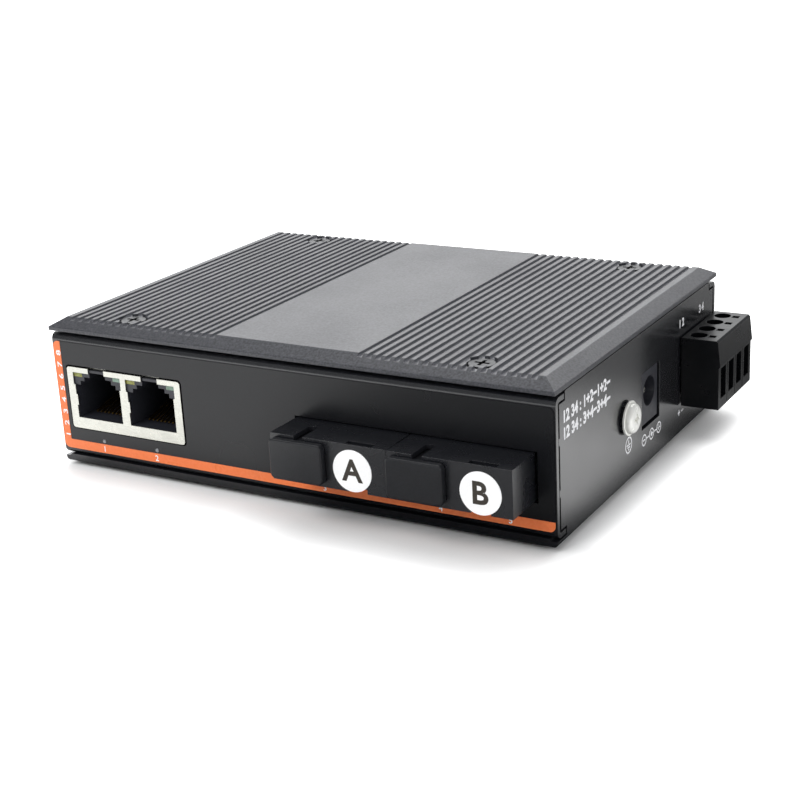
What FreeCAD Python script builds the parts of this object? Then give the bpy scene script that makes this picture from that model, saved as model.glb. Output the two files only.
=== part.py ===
import FreeCAD
import Part
import math
import os

# Fibre media converter in a folded case, for 35 mm rail or a shelf.
# Millimetres. Origin: centre of the underside. +X along the port face to the terminal side,
# +Y from the port face to the rear, +Z up.

os.makedirs("parts", exist_ok=True)
Vec = FreeCAD.Vector
X_AXIS = Vec(1, 0, 0)
Y_AXIS = Vec(0, 1, 0)
Z_AXIS = Vec(0, 0, 1)

# Case
case_half_x = 57.86
face_y = 42.23
tray_sheet = 1.5
tray_bend = 0.8
tray_bend_inside = 0.3
wall_top = 28.9
wall_end_y = 40.7
panel_sheet = 1.0
panel_bend = 1.5
panel_top = 28.5
tab_end_y = 38.6
notch_gap = 0.45
flange_end_y = 31.5
flange_half_x = 56.0
edge_nib_z = (10.1, 20.0)
edge_nib_size = (1.4, 0.4)

# Cover
cover_half_x = 57.98
cover_half_y = 42.73
cover_under = 29.2
cover_lip = 30.0
cover_top = 31.72
cover_slope = 3.0
band_half = 16.55
rib_pitch = 2.0
groove_width = 1.05
groove_depth = 0.55
groove_count = 19
cover_screw_x = 40.5
cover_screw_y = 36.0
recess_radius = 3.05
recess_floor = 30.42
pad_radius = 4.0

# Fasteners
m3_radius = 1.5
m3_clearance = 1.7
m3_thread = 1.55
countersink = 1.35
cross_width = 0.7

# Front film and its printed band
film_half_x = 57.55
film_foot = 3.05
film_head = 26.9
film_thick = 0.2
ink_thick = 0.05
film_round = 1.2
band_side_width = 1.85
band_foot_width = 2.0

# Indicator light guides, a row low on the panel
lens_radius = 0.4
lens_length = 1.65
lens_z = 5.75

# Copper port block
port_pitch = 13.97
port_block_x = -39.7
shield_half_x = 14.8
shield_foot = 8.0
shield_head = 21.6
shield_front = -42.55
shield_back = -20.5
shield_sheet = 0.3
port_foot = 10.45
port_head = 20.45
port_half = 5.95
port_depth = 15.5
latch_half = 2.1
led_window = (4.1, 6.3, 19.45, 20.4)
led_length = 8.0
contact_pitch = 1.02
contact_count = 8
contact_half = 0.18

# Fibre modules
module_x = (15.55, 40.95)
module_half_x = 12.65
module_foot = 8.5
module_head = 17.9
module_front = -51.4
module_back = -1.5
receptacle_offset = -6.35
receptacle_half_x = 4.5
receptacle_half_z = 3.7
receptacle_z = 13.3
receptacle_back = -28.0
key_half = 1.0
key_end = -45.5
notch_offset = 6.6
pocket_half = 2.8
pocket_y = (0.35, 1.75)
notch_half = 2.0
notch_shift = -0.35
notch_depth_y = 2.3
notch_depth_z = 1.2
bezel_depth = 3.8
bezel_step = 0.1
module_foot_places = ((-10.5, -35.0), (10.5, -35.0), (-10.5, -8.0), (10.5, -8.0))
module_foot_radius = 1.0
module_window_gap = (0.3, 0.65)
sleeve_outer = 1.6
sleeve_inner = 1.25
sleeve_front = -38.0
pin_pitch = 2.54
pin_count = 9
pin_row_y = -5.0
pin_half = 0.25
pin_hole_half = 0.45
pin_tip = 5.2

# Dust plugs
plug_flange_half_x = 5.8
plug_flange_half_z = 3.95
plug_flange_front = -53.1
plug_flange_back = -51.65
plug_stem_gap = 0.15
plug_stem_back = -40.0
plug_bore = 2.4

# Round labels
label_radius = 4.15
label_thick = 0.12
label_centres = ((20.8, 12.75), (47.3, 12.6))

# Barrel jack
jack_y = 3.6
jack_half_y = 4.5
jack_foot = 8.9
jack_head = 19.9
jack_front = 57.5
jack_flange_back = 53.5
jack_back = 43.5
jack_rear_head = 19.0
jack_bore_z = 15.35
jack_bore_radius = 3.1
jack_bore_end = 46.0
jack_pin_radius = 1.0
jack_window = (-1.2, 8.6, 8.35, 20.2)

# Earth screw
earth_y = -9.2
earth_z = 13.9
earth_radius = 2.0
earth_hole = 2.2
lock_washer = (2.1, 3.7, 1.0)
flat_washer = (2.1, 3.85, 0.6)
earth_head_radius = 3.5
earth_head_height = 1.3
earth_head_round = 1.0
earth_recess = (1.7, 0.95)
earth_tip = 53.9
earth_nut_flats = 7.0
earth_nut_height = 2.2

# Four-way connector
pole_pitch = 5.08
pole_count = 4
pole_centre_y = 31.1
plug_half_y = 10.65
plug_foot = 6.6
plug_head = 21.6
plug_inner_x = 58.2
plug_face_x = 66.35
plug_knee = (66.65, 16.3)
plug_top_x = 66.1
neck_half_y = 9.2
neck_back = 48.4
neck_z = (9.1, 19.5)
header_half_y = 9.9
header_x = (46.6, 57.2)
header_head = 20.6
header_wall = 0.9
header_gap = 0.2
clamp_x = 60.9
clamp_hole = 1.8
clamp_ledge = (17.0, 17.4)
clamp_ledge_hole = 1.3
clamp_head_radius = 1.7
clamp_head = (17.5, 19.3)
clamp_shank = 1.2
clamp_thread = 1.25
clamp_tip = 13.15
chamber_x = (59.0, 64.6)
chamber_half_y = 2.0
chamber_foot = 8.0
wire_half = 1.65
wire_z = (8.7, 15.4)
probe_x = 63.85
probe_half = 0.75
probe_depth = 1.2
cage_x = (59.3, 62.5)
cage_half_y = 1.85
cage_z = (8.2, 14.6)
cage_wall = 0.6
cage_bar = 1.4
socket_half = 1.0
socket_x = (49.5, 63.2)
socket_lower = (12.4, 12.95)
socket_upper = (14.25, 14.8)
socket_heel = (56.4, 57.0)
header_pin_z = (13.1, 14.1)
header_pin_x = (44.6, 55.2)
header_pin_half = 0.5

# Board
board_half_x = 55.6
board_y = (-40.7, 40.6)
board_z = (6.4, 8.0)
standoffs = ((-11.0, -27.5), (-51.0, 6.0), (-51.0, 27.5), (38.5, 27.5), (38.5, 6.0))
standoff_radius = 2.8
standoff_spigot = 2.1
board_screw_head = (2.7, 1.8)

# Rail clip, for rail 35 mm wide and 1 mm thick at the edges
clip_z = (4.0, 26.0)
clip_plate = 2.0
clip_slot = 1.27
clip_lip = 1.6
clip_screws = ((-8.0, 15.0), (8.0, 15.0))


def block(x0, y0, z0, x1, y1, z1):
    return Part.makeBox(x1 - x0, y1 - y0, z1 - z0, Vec(x0, y0, z0))


def rod(start, axis, radius, length):
    return Part.makeCylinder(radius, length, Vec(*start), axis)


def prism(points, travel):
    wire = Part.makePolygon([Vec(*p) for p in points] + [Vec(*points[0])])
    return Part.Face(wire).extrude(Vec(*travel))


def fuse(shapes):
    joined = shapes[0].multiFuse(shapes[1:])
    return joined.removeSplitter()


def cut(base, tools):
    result = base
    for tool in tools:
        result = result.cut(tool)
    return result.removeSplitter()


def group(shapes):
    return Part.makeCompound(shapes)


def mirror_x(shape):
    return shape.mirror(Vec(0, 0, 0), X_AXIS)


def mirror_y(shape):
    return shape.mirror(Vec(0, 0, 0), Y_AXIS)


def round_along(shape, axis, radius, keep=None):
    edges = []
    for edge in shape.Edges:
        if len(edge.Vertexes) != 2:
            continue
        span = edge.Vertexes[1].Point.sub(edge.Vertexes[0].Point)
        if span.Length < 1e-6 or abs(abs(span.dot(axis)) / span.Length - 1) > 1e-6:
            continue
        if keep is None or keep(edge.CenterOfMass):
            edges.append(edge)
    return shape.makeFillet(radius, edges)


def save(name, shape):
    shape.exportStep("parts/" + name + ".step")


def pole_y(index):
    return pole_centre_y + (index - (pole_count - 1) / 2) * pole_pitch


def port_x(index):
    return port_block_x + (index - 0.5) * port_pitch


def cross_cutter(centre, axis, reach, depth):
    # Two crossed bars sunk from the head face along the screw axis.
    x, y, z = centre
    half = cross_width / 2
    if axis == Z_AXIS:
        first = block(x - reach, y - half, z - depth, x + reach, y + half, z + 1)
        second = block(x - half, y - reach, z - depth, x + half, y + reach, z + 1)
    elif axis == X_AXIS:
        first = block(x - depth, y - reach, z - half, x + 1, y + reach, z + half)
        second = block(x - depth, y - half, z - reach, x + 1, y + half, z + reach)
    else:
        first = block(x - reach, y - depth, z - half, x + reach, y + 1, z + half)
        second = block(x - half, y - depth, z - reach, x + half, y + 1, z + reach)
    return [first, second]


def chassis_tray():
    # Floor and two walls folded from one sheet over a cut groove, which keeps the bends tight.
    outer = block(-case_half_x, -face_y, 0, case_half_x, face_y, wall_top)
    outer = round_along(outer, Y_AXIS, tray_bend, lambda c: c.z < 1)
    inner_half = case_half_x - tray_sheet
    inner = block(-inner_half, -face_y - 1, tray_sheet, inner_half, face_y + 1, wall_top + 1)
    inner = round_along(inner, Y_AXIS, tray_bend_inside, lambda c: c.z < tray_sheet + 1)
    tray = outer.cut(inner)
    tools = []
    tab_depth = tab_end_y - notch_gap
    tab_low = tray_sheet + panel_sheet + notch_gap
    tab_high = panel_top - panel_sheet - notch_gap
    side = case_half_x + 1
    for sign in (-1, 1):
        far = sign * (face_y + 1)
        ends = sorted((sign * wall_end_y, far))
        tools.append(block(-side, ends[0], tray_sheet, side, ends[1], wall_top + 1))
        ends = sorted((sign * tab_depth, far))
        tools.append(block(-side, ends[0], tray_sheet, side, ends[1], tab_low))
        # The wall's foot is relieved too, so each panel tab stands clear of it.
        for start, end in ((-side, -inner_half), (inner_half, side)):
            tools.append(block(start, ends[0], tray_sheet - notch_gap, end, ends[1], tab_low))
        tools.append(block(-side, ends[0], tab_high, side, ends[1], wall_top + 1))
    # Windows in the right wall: barrel jack, earth screw, four-way header open to the rear edge.
    wall_in = inner_half - 1
    y0, y1, z0, z1 = jack_window
    tools.append(block(wall_in, y0, z0, side, y1, z1))
    tools.append(rod((wall_in, earth_y, earth_z), X_AXIS, earth_hole, tray_sheet + 2))
    slot_start = pole_centre_y - header_half_y - header_gap
    tools.append(block(wall_in, slot_start, board_z[1] - 0.3, side, face_y, header_head + 0.3))
    for x, y in standoffs:
        tools.append(rod((x, y, -1), Z_AXIS, standoff_spigot, tray_sheet + 2))
    for x, y in panel_screw_places():
        tools.append(rod((x, y, -1), Z_AXIS, m3_clearance, tray_sheet + 2))
        sink = Part.makeCone(m3_clearance + countersink, m3_clearance, countersink, Vec(x, y, 0), Z_AXIS)
        tools.append(sink)
    tray = cut(tray, tools)
    # Small nibs on the wall edges keep the panels square.
    height, depth = edge_nib_size
    nibs = []
    for sign in (-1, 1):
        for z in edge_nib_z:
            ends = sorted((sign * wall_end_y, sign * (wall_end_y + depth)))
            low = z - height / 2
            nibs.append(block(inner_half, ends[0], low, case_half_x, ends[1], low + height))
            nibs.append(block(-case_half_x, ends[0], low, -inner_half, ends[1], low + height))
    keep_out = block(wall_in, face_y - 3, board_z[1] - 0.3, side, face_y, header_head + 0.3)
    return cut(fuse([tray] + nibs), [keep_out])


def panel_screw_places():
    return [(x, y) for x in (-46.0, 46.0) for y in (-36.5, 36.5)]


def pan_blank():
    # Front pan: wall with a flange turned in at the top and at the foot, corner tabs full width.
    outer = block(-case_half_x, -face_y, tray_sheet, case_half_x, -flange_end_y, panel_top)
    outer = round_along(outer, X_AXIS, panel_bend, lambda c: c.y < -face_y + 0.1)
    low = tray_sheet + panel_sheet
    high = panel_top - panel_sheet
    inner = block(-case_half_x - 1, -face_y + panel_sheet, low, case_half_x + 1, -flange_end_y + 1, high)
    inner = round_along(inner, X_AXIS, panel_bend - panel_sheet, lambda c: c.y < -face_y + 2)
    pan = outer.cut(inner)
    trims = []
    for sign in (-1, 1):
        sides = sorted((sign * flange_half_x, sign * (case_half_x + 1)))
        trims.append(block(sides[0], -tab_end_y, 0, sides[1], -flange_end_y + 1, panel_top + 1))
    pan = cut(pan, trims)
    # Drawn collars carry the threads of the cover screws and the floor screws.
    collars = []
    holes = []
    for x in (-cover_screw_x, cover_screw_x):
        collars.append(rod((x, -cover_screw_y, high - 1.6), Z_AXIS, 2.6, 1.7))
        holes.append(rod((x, -cover_screw_y, high - 2), Z_AXIS, m3_thread, panel_sheet + 3))
    for x, y in panel_screw_places():
        if y < 0:
            collars.append(rod((x, y, low - 0.1), Z_AXIS, 2.6, 1.7))
            holes.append(rod((x, y, tray_sheet - 1), Z_AXIS, m3_thread, panel_sheet + 3))
    return cut(fuse([pan] + collars), holes)


def indicator_places():
    return [(x, lens_z) for x in (port_x(0) + 0.2, port_x(1) + 0.25, 8.5, 34.1, 48.6)]


def front_tools(y0, y1, grow):
    # Windows through the panel and the film.
    side = shield_half_x + 0.35 + grow
    tools = [block(port_block_x - side, y0, shield_foot - 0.25 - grow,
                   port_block_x + side, y1, shield_head + 0.35 + grow)]
    tools[0] = round_along(tools[0], Y_AXIS, 0.9)
    left = module_x[0] - module_half_x - module_window_gap[0] - grow
    right = module_x[1] + module_half_x + module_window_gap[1] + grow
    tools.append(block(left, y0, module_foot - 0.3 - grow, right, y1, module_head + 0.3 + grow))
    for x, z in indicator_places():
        tools.append(rod((x, y0, z), Y_AXIS, lens_radius + 0.05, y1 - y0))
    return tools


def front_panel():
    return cut(pan_blank(), front_tools(-face_y - 1, -face_y + panel_sheet + 0.5, 0))


def rear_panel():
    panel = mirror_y(pan_blank())
    holes = []
    collars = []
    for x, z in clip_screws:
        collars.append(rod((x, face_y - panel_sheet - 1.6, z), Y_AXIS, 2.6, 1.7))
        holes.append(rod((x, face_y - panel_sheet - 2, z), Y_AXIS, m3_thread, panel_sheet + 3))
    return cut(fuse([panel] + collars), holes)


def top_cover():
    # Plate with a sloped border, grooves each side of a bare band, four screw recesses.
    lip = block(-cover_half_x, -cover_half_y, cover_under, cover_half_x, cover_half_y, cover_lip)
    foot = [(-cover_half_x, -cover_half_y), (cover_half_x, -cover_half_y),
            (cover_half_x, cover_half_y), (-cover_half_x, cover_half_y)]
    head_x = cover_half_x - cover_slope
    head_y = cover_half_y - cover_slope
    head = [(-head_x, -head_y), (head_x, -head_y), (head_x, head_y), (-head_x, head_y)]
    wires = []
    for ring, z in ((foot, cover_lip), (head, cover_top)):
        corners = [Vec(x, y, z) for x, y in ring]
        wires.append(Part.makePolygon(corners + [corners[0]]))
    slope = Part.makeLoft(wires, True, True)
    places = [(sx * cover_screw_x, sy * cover_screw_y) for sx in (-1, 1) for sy in (-1, 1)]
    pads = [rod((x, y, panel_top), Z_AXIS, pad_radius, cover_under - panel_top + 0.1) for x, y in places]
    plate = fuse([lip, slope] + pads)
    tools = []
    for index in range(groove_count):
        start = band_half + index * rib_pitch
        groove = block(start, -cover_half_y - 1, cover_top - groove_depth,
                       start + groove_width, cover_half_y + 1, cover_top + 1)
        tools.append(groove)
        tools.append(mirror_x(groove))
    for x, y in places:
        tools.append(rod((x, y, recess_floor), Z_AXIS, recess_radius, 3))
        tools.append(rod((x, y, panel_top - 1), Z_AXIS, m3_clearance, 4))
    return plate.cut(tools).removeSplitter()


def cover_screws():
    screws = []
    for sx in (-1, 1):
        for sy in (-1, 1):
            x = sx * cover_screw_x
            y = sy * cover_screw_y
            head = rod((x, y, recess_floor), Z_AXIS, 2.75, 0.95)
            top = head.Edges[0] if head.Edges[0].CenterOfMass.z > recess_floor + 0.5 else head.Edges[2]
            head = head.makeFillet(0.35, [top])
            shank = rod((x, y, 23.6), Z_AXIS, m3_radius, recess_floor - 23.6)
            cutter = cross_cutter((x, y, recess_floor + 0.95), Z_AXIS, 1.5, 0.8)
            screws.append(cut(fuse([head, shank]), cutter))
    return group(screws)


def panel_screws():
    screws = []
    height = countersink - 0.05
    for x, y in panel_screw_places():
        head = Part.makeCone(m3_radius + height, m3_radius, height, Vec(x, y, 0.05), Z_AXIS)
        shank = rod((x, y, 0.05), Z_AXIS, m3_radius, 5.2)
        cutter = [block(x - 1.4, y - 0.35, -1, x + 1.4, y + 0.35, 0.75),
                  block(x - 0.35, y - 1.4, -1, x + 0.35, y + 1.4, 0.75)]
        screws.append(cut(fuse([head, shank]), cutter))
    return group(screws)


def front_overlay():
    film = block(-film_half_x, -face_y - film_thick, film_foot, film_half_x, -face_y, film_head)
    film = round_along(film, Y_AXIS, film_round)
    return cut(film, front_tools(-face_y - 1, -face_y + 1, 0))


def orange_band():
    # Printed in one pass: a strip up the left edge and one along the foot.
    front = -face_y - film_thick - ink_thick
    sheet = block(-film_half_x, front, film_foot, film_half_x, front + ink_thick, film_head)
    sheet = round_along(sheet, Y_AXIS, film_round)
    field = block(-film_half_x + band_side_width, front - 1, film_foot + band_foot_width,
                  film_half_x + 1, front + 1, film_head + 1)
    return cut(sheet, [field])


def rj45_shield():
    left = port_block_x - shield_half_x
    right = port_block_x + shield_half_x
    shell = block(left, shield_front, shield_foot, right, shield_back, shield_head)
    shell = round_along(shell, Y_AXIS, 0.7)
    sheet = shield_sheet
    hollow = block(left + sheet, shield_front + sheet, shield_foot + sheet,
                   right - sheet, shield_back - sheet, shield_head - sheet)
    base_gap = block(left + 2, -38.0, shield_foot - 1, right - 2, shield_back - 2, shield_foot + 1)
    tools = [hollow, base_gap]
    front = (shield_front - 1, shield_front + sheet + 0.01)
    for index in (0, 1):
        x = port_x(index)
        tools.append(block(x - port_half, front[0], port_foot, x + port_half, front[1], port_head))
        tools.append(block(x - port_half - 0.35, front[0], 17.8, x + port_half + 0.35, front[1], port_head))
        tools.append(block(x - latch_half, front[0], port_head - 1, x + latch_half, front[1] + 0.9,
                           shield_head + 1))
    shell = cut(shell, tools)
    # A pressed spring bump on the left bar of each port.
    bumps = []
    for index in (0, 1):
        x = port_x(index) - port_half
        bumps.append(block(x - 0.2, shield_front, 13.2, x + 0.3, shield_front + sheet, 15.6))
    return fuse([shell] + bumps)


def port_cavity(x, y0, y1):
    # Stepped outline: full width below, two steps in, then the latch channel.
    steps = ((port_half - 0.05, port_foot), (port_half - 0.05, 17.7), (4.7, 17.7), (4.7, 18.6),
             (3.6, 18.6), (3.6, 19.5), (latch_half, 19.5), (latch_half, port_head + 0.2))
    outline = [(x + half, y0, z) for half, z in steps]
    outline += [(x - half, y0, z) for half, z in reversed(steps)]
    return prism(outline, (0, y1 - y0, 0))


def led_boxes(side):
    inner, outer, low, high = led_window
    front = shield_front + shield_sheet + 0.05
    boxes = []
    for index in (0, 1):
        xs = sorted((port_x(index) + side * inner, port_x(index) + side * outer))
        boxes.append(block(xs[0], front, low, xs[1], front + led_length, high))
    return boxes


def rj45_housing():
    sheet = shield_sheet + 0.05
    body = block(port_block_x - shield_half_x + sheet, shield_front + sheet, shield_foot + sheet,
                 port_block_x + shield_half_x - sheet, shield_back - sheet, 21.2)
    tools = led_boxes(-1) + led_boxes(1)
    back = shield_front + sheet + port_depth
    for index in (0, 1):
        x = port_x(index)
        tools.append(port_cavity(x, shield_front, back))
        # Well behind the port where the contact tails drop to the board.
        tools.append(block(x - 4.4, back - 0.5, shield_foot, x + 4.4, back + 2.2, 16.2))
    return cut(body, tools)


def rj45_contacts():
    back = shield_front + shield_sheet + port_depth + 0.8
    profile = [(-39.4, 10.95), (-39.1, 10.75), (-38.6, 10.9), (back + 0.6, 15.1), (back + 0.6, 8.02),
               (back + 0.9, 8.02), (back + 0.9, 15.5), (-38.7, 11.25), (-39.2, 11.2)]
    wires = []
    for index in (0, 1):
        for step in range(contact_count):
            x = port_x(index) + (step - (contact_count - 1) / 2) * contact_pitch - contact_half
            wires.append(prism([(x, y, z) for y, z in profile], (2 * contact_half, 0, 0)))
    return group(wires)


def indicator_lenses():
    lenses = []
    for x, z in indicator_places():
        lenses.append(rod((x, -face_y - film_thick - 0.1, z), Y_AXIS, lens_radius, lens_length))
    return group(lenses)


def indicator_leds():
    # Chips under the front edge of the board, behind the light guides.
    chips = []
    top = board_z[0]
    for x, z in indicator_places():
        chips.append(block(x - 0.8, board_y[0] + 0.1, top - 1.0, x + 0.8, board_y[0] + 0.9, top))
    return group(chips)


def fibre_module(index):
    cx = module_x[index]
    left = cx - module_half_x
    right = cx + module_half_x
    body = block(left, module_front, module_foot, right, module_back, module_head)
    rx = cx + receptacle_offset
    low = receptacle_z - receptacle_half_z
    high = receptacle_z + receptacle_half_z
    tools = [block(rx - receptacle_half_x, module_front - 1, low,
                   rx + receptacle_half_x, receptacle_back, high)]
    slot = block(rx - key_half, module_front - 1, high - 0.5,
                 rx + key_half, key_end - key_half, module_head + 1)
    slot_end = rod((rx, key_end - key_half, high - 0.5), Z_AXIS, key_half, 3)
    tools += [slot, slot_end]
    # Latch pocket in the roof behind a thin lip, and an open notch in the foot.
    nx = cx + notch_offset
    tools.append(block(nx - pocket_half, module_front + pocket_y[0], module_head - notch_depth_z,
                       nx + pocket_half, module_front + pocket_y[1], module_head + 1))
    nx += notch_shift
    tools.append(block(nx - notch_half, module_front - 1, module_foot - 1,
                       nx + notch_half, module_front + notch_depth_y, module_foot + notch_depth_z))
    # Side faces step in behind the front bezel.
    step_start = module_front + bezel_depth
    for side in ((left - 1, left + bezel_step), (right - bezel_step, right + 1)):
        tools.append(block(side[0], step_start, module_foot - 1,
                           side[1], module_back + 1, module_head + 1))
    body = cut(body, tools)
    # Holder of the ceramic sleeve at the end of the receptacle.
    holder = rod((rx, receptacle_back - 4.5, receptacle_z), Y_AXIS, 2.3, 5.5)
    bore = rod((rx, receptacle_back - 5, receptacle_z), Y_AXIS, sleeve_outer, 5)
    # Four moulded feet hold the shell off the board.
    feet = []
    for dx, y in module_foot_places:
        feet.append(rod((cx + dx, y, board_z[1] + 0.05), Z_AXIS, module_foot_radius,
                        module_foot - board_z[1]))
    return cut(fuse([body, holder] + feet), [bore])


def fibre_sleeves():
    sleeves = []
    for cx in module_x:
        x = cx + receptacle_offset
        outer = rod((x, sleeve_front, receptacle_z), Y_AXIS, sleeve_outer, receptacle_back - sleeve_front)
        inner = rod((x, sleeve_front - 1, receptacle_z), Y_AXIS, sleeve_inner,
                    receptacle_back - sleeve_front)
        slit = block(x - 0.2, sleeve_front - 1, receptacle_z, x + 0.2, receptacle_back + 1, receptacle_z + 2)
        sleeves.append(cut(outer, [inner, slit]))
    return group(sleeves)


def module_pin_places():
    first = -(pin_count - 1) / 2 * pin_pitch
    return [(cx + first + step * pin_pitch, pin_row_y) for cx in module_x for step in range(pin_count)]


def module_pins():
    pins = []
    for x, y in module_pin_places():
        pins.append(block(x - pin_half, y - pin_half, pin_tip, x + pin_half, y + pin_half, module_foot))
    return group(pins)


def dust_plug(index):
    x = module_x[index] + receptacle_offset
    flange = block(x - plug_flange_half_x, plug_flange_front, receptacle_z - plug_flange_half_z,
                   x + plug_flange_half_x, plug_flange_back, receptacle_z + plug_flange_half_z)
    flange = round_along(flange, Y_AXIS, 0.9)
    front_edges = [e for e in flange.Edges if abs(e.CenterOfMass.y - plug_flange_front) < 1e-6]
    flange = flange.makeChamfer(0.2, front_edges)
    half_x = receptacle_half_x - plug_stem_gap
    half_z = receptacle_half_z - plug_stem_gap
    stem = block(x - half_x, plug_flange_back, receptacle_z - half_z,
                 x + half_x, plug_stem_back, receptacle_z + half_z)
    bore = rod((x, plug_flange_back + 1.5, receptacle_z), Y_AXIS, plug_bore, 20)
    return cut(fuse([flange, stem]), [bore])


def port_stickers():
    discs = []
    for x, z in label_centres:
        discs.append(rod((x, module_front - label_thick, z), Y_AXIS, label_radius, label_thick))
    return group(discs)


def dc_jack_body():
    y0 = jack_y - jack_half_y
    y1 = jack_y + jack_half_y
    flange = block(jack_flange_back, y0, jack_foot, jack_front, y1, jack_head)
    rear = block(jack_back, y0, board_z[1], jack_flange_back, y1, jack_rear_head)
    body = fuse([flange, rear])
    bore = rod((jack_bore_end, jack_y, jack_bore_z), X_AXIS, jack_bore_radius, 20)
    pin_seat = rod((jack_back - 1, jack_y, jack_bore_z), X_AXIS, jack_pin_radius, 5)
    pocket = block(jack_bore_end, jack_y - 1.6, 11.2, jack_flange_back - 0.5, jack_y + 1.6, 13.2)
    return cut(body, [bore, pin_seat, pocket])


def dc_jack_pin():
    shaft = rod((jack_back - 0.8, jack_y, jack_bore_z), X_AXIS, jack_pin_radius, 13.3)
    tip = Part.makeCone(jack_pin_radius, 0.5, 0.5, Vec(jack_back + 12.5, jack_y, jack_bore_z), X_AXIS)
    return fuse([shaft, tip])


def dc_jack_spring():
    x0 = jack_bore_end + 0.1
    profile = [(x0, 11.3), (x0 + 6.6, 11.3), (x0 + 4.2, 12.9), (x0 + 1.5, 11.7), (x0, 11.7)]
    return prism([(x, jack_y - 1.5, z) for x, z in profile], (0, 3.0, 0))


def washer(start_x, inner, outer, thick):
    ring = rod((start_x, earth_y, earth_z), X_AXIS, outer, thick)
    return cut(ring, [rod((start_x - 1, earth_y, earth_z), X_AXIS, inner, thick + 2)])


def ground_lock_washer():
    inner, outer, thick = lock_washer
    ring = washer(case_half_x, inner, outer, thick)
    split = block(case_half_x - 1, earth_y - 5, earth_z - 0.3, case_half_x + 3, earth_y, earth_z + 0.3)
    return cut(ring, [split])


def ground_flat_washer():
    inner, outer, thick = flat_washer
    return washer(case_half_x + lock_washer[2], inner, outer, thick)


def ground_screw():
    seat = case_half_x + lock_washer[2] + flat_washer[2]
    head = rod((seat, earth_y, earth_z), X_AXIS, earth_head_radius, earth_head_height)
    rim = [e for e in head.Edges if e.Closed and e.CenterOfMass.x > seat + earth_head_height / 2]
    head = head.makeFillet(earth_head_round, rim)
    shank = rod((earth_tip, earth_y, earth_z), X_AXIS, earth_radius, seat - earth_tip)
    cutter = cross_cutter((seat + earth_head_height, earth_y, earth_z), X_AXIS, *earth_recess)
    return cut(fuse([head, shank]), cutter)


def ground_nut():
    start = case_half_x - tray_sheet - earth_nut_height
    corner = earth_nut_flats / 2 / math.cos(math.pi / 6)
    ring = []
    for step in range(6):
        angle = step * math.pi / 3
        ring.append((start, earth_y + corner * math.cos(angle), earth_z + corner * math.sin(angle)))
    nut = prism(ring, (earth_nut_height, 0, 0))
    return cut(nut, [rod((start - 1, earth_y, earth_z), X_AXIS, earth_radius + 0.06, earth_nut_height + 2)])


def terminal_header():
    y0 = pole_centre_y - header_half_y
    y1 = pole_centre_y + header_half_y
    body = block(header_x[0], y0, board_z[1], header_x[1], y1, header_head)
    half = neck_half_y + header_gap
    hollow = block(header_x[0] + 1.4, pole_centre_y - half, neck_z[0] - header_gap,
                   header_x[1] + 1, pole_centre_y + half, neck_z[1] + header_gap)
    tools = [hollow]
    for index in range(pole_count):
        y = pole_y(index)
        tools.append(block(header_x[0] - 1, y - header_pin_half, header_pin_z[0],
                           header_x[0] + 2, y + header_pin_half, header_pin_z[1]))
    return cut(body, tools)


def header_pins():
    pins = []
    for index in range(pole_count):
        y = pole_y(index)
        x0, x1 = header_pin_x
        z0, z1 = header_pin_z
        profile = [(x0, pin_tip), (x0 + 1, pin_tip), (x0 + 1, z0), (x1, z0), (x1, z1), (x0, z1)]
        pins.append(prism([(x, y - header_pin_half, z) for x, z in profile], (0, 2 * header_pin_half, 0)))
    return group(pins)


def terminal_plug():
    y0 = pole_centre_y - plug_half_y
    knee_x, knee_z = plug_knee
    outline = [(plug_inner_x, plug_foot), (plug_face_x, plug_foot), (plug_face_x, knee_z - 0.6),
               (knee_x, knee_z - 0.3), (knee_x, knee_z), (plug_top_x, plug_head - 0.4),
               (plug_top_x - 0.4, plug_head), (plug_inner_x, plug_head)]
    body = prism([(x, y0, z) for x, z in outline], (0, 2 * plug_half_y, 0))
    neck = block(neck_back, pole_centre_y - neck_half_y, neck_z[0],
                 plug_inner_x + 0.5, pole_centre_y + neck_half_y, neck_z[1])
    tools = []
    for index in range(pole_count):
        y = pole_y(index)
        tools.append(block(chamber_x[0], y - chamber_half_y, chamber_foot,
                           chamber_x[1], y + chamber_half_y, clamp_ledge[0]))
        tools.append(block(chamber_x[1] - 0.5, y - wire_half, wire_z[0],
                           knee_x + 1, y + wire_half, wire_z[1]))
        tools.append(rod((clamp_x, y, clamp_ledge[0] - 0.5), Z_AXIS, clamp_ledge_hole, 2))
        tools.append(rod((clamp_x, y, clamp_ledge[1]), Z_AXIS, clamp_hole, 10))
        tools.append(block(probe_x - probe_half, y - probe_half, plug_head - probe_depth,
                           probe_x + probe_half, y + probe_half, plug_head + 1))
        tools.append(block(neck_back - 1, y - socket_half - 0.1, socket_lower[0] - 0.2,
                           chamber_x[0] + 0.5, y + socket_half + 0.1, socket_upper[1] + 0.2))
    # Thin grooves mark the poles on the outer face.
    for index in range(pole_count - 1):
        y = (pole_y(index) + pole_y(index + 1)) / 2
        tools.append(block(plug_face_x - 0.25, y - 0.15, plug_foot - 1,
                           plug_face_x + 1, y + 0.15, knee_z - 0.6))
    return cut(fuse([body, neck]), tools)


def plug_contacts():
    strips = []
    x0, x1 = socket_x
    for index in range(pole_count):
        y = pole_y(index) - socket_half
        heel_in, heel_out = socket_heel
        profile = [(x0, socket_lower[0]), (x1, socket_lower[0]), (x1, socket_lower[1]),
                   (heel_out, socket_lower[1]), (heel_out, socket_upper[1]), (x0, socket_upper[1]),
                   (x0, socket_upper[0]), (heel_in, socket_upper[0]), (heel_in, socket_lower[1]),
                   (x0, socket_lower[1])]
        strips.append(prism([(x, y, z) for x, z in profile], (0, 2 * socket_half, 0)))
    return group(strips)


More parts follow.
